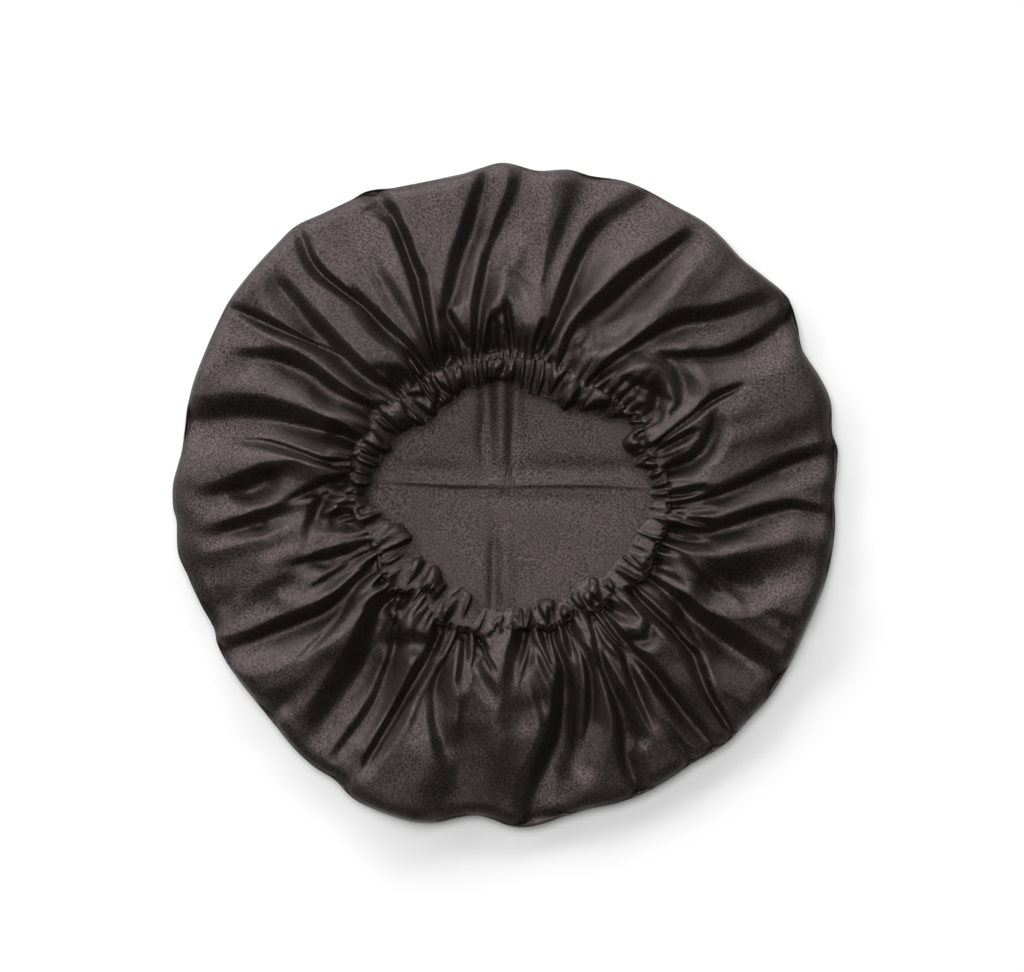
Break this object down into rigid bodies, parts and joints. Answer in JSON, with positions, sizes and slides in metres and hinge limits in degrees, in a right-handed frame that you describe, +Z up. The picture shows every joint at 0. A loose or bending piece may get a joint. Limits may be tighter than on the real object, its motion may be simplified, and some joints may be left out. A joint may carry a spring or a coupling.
{
  "type": "sleep bonnet",
  "caption": "Gathered satin sleep bonnet lying on its crown, mouth up, with a puckered elastic casing round an open bag for the head and hair.",
  "frame": {"origin": "middle of the bonnet's plan, on the surface that its crown lies on", "axes": "+Z up out of the mouth, square to the flat crown; +X to the picture's right and +Y to its top"},
  "size_m": [0.3576, 0.359, 0.031],
  "materials": {
    "satin": "black-brown polyester satin, soft sheen, fine diagonal twill",
    "gathered_satin": "the same satin, tightly puckered over elastic",
    "elastic": "flat woven elastic, black, hidden in the casing"
  },
  "bodies": {
    "root": {"crown": "satin", "casing": "gathered_satin", "elastic": "elastic"}
  },
  "joints": []
}
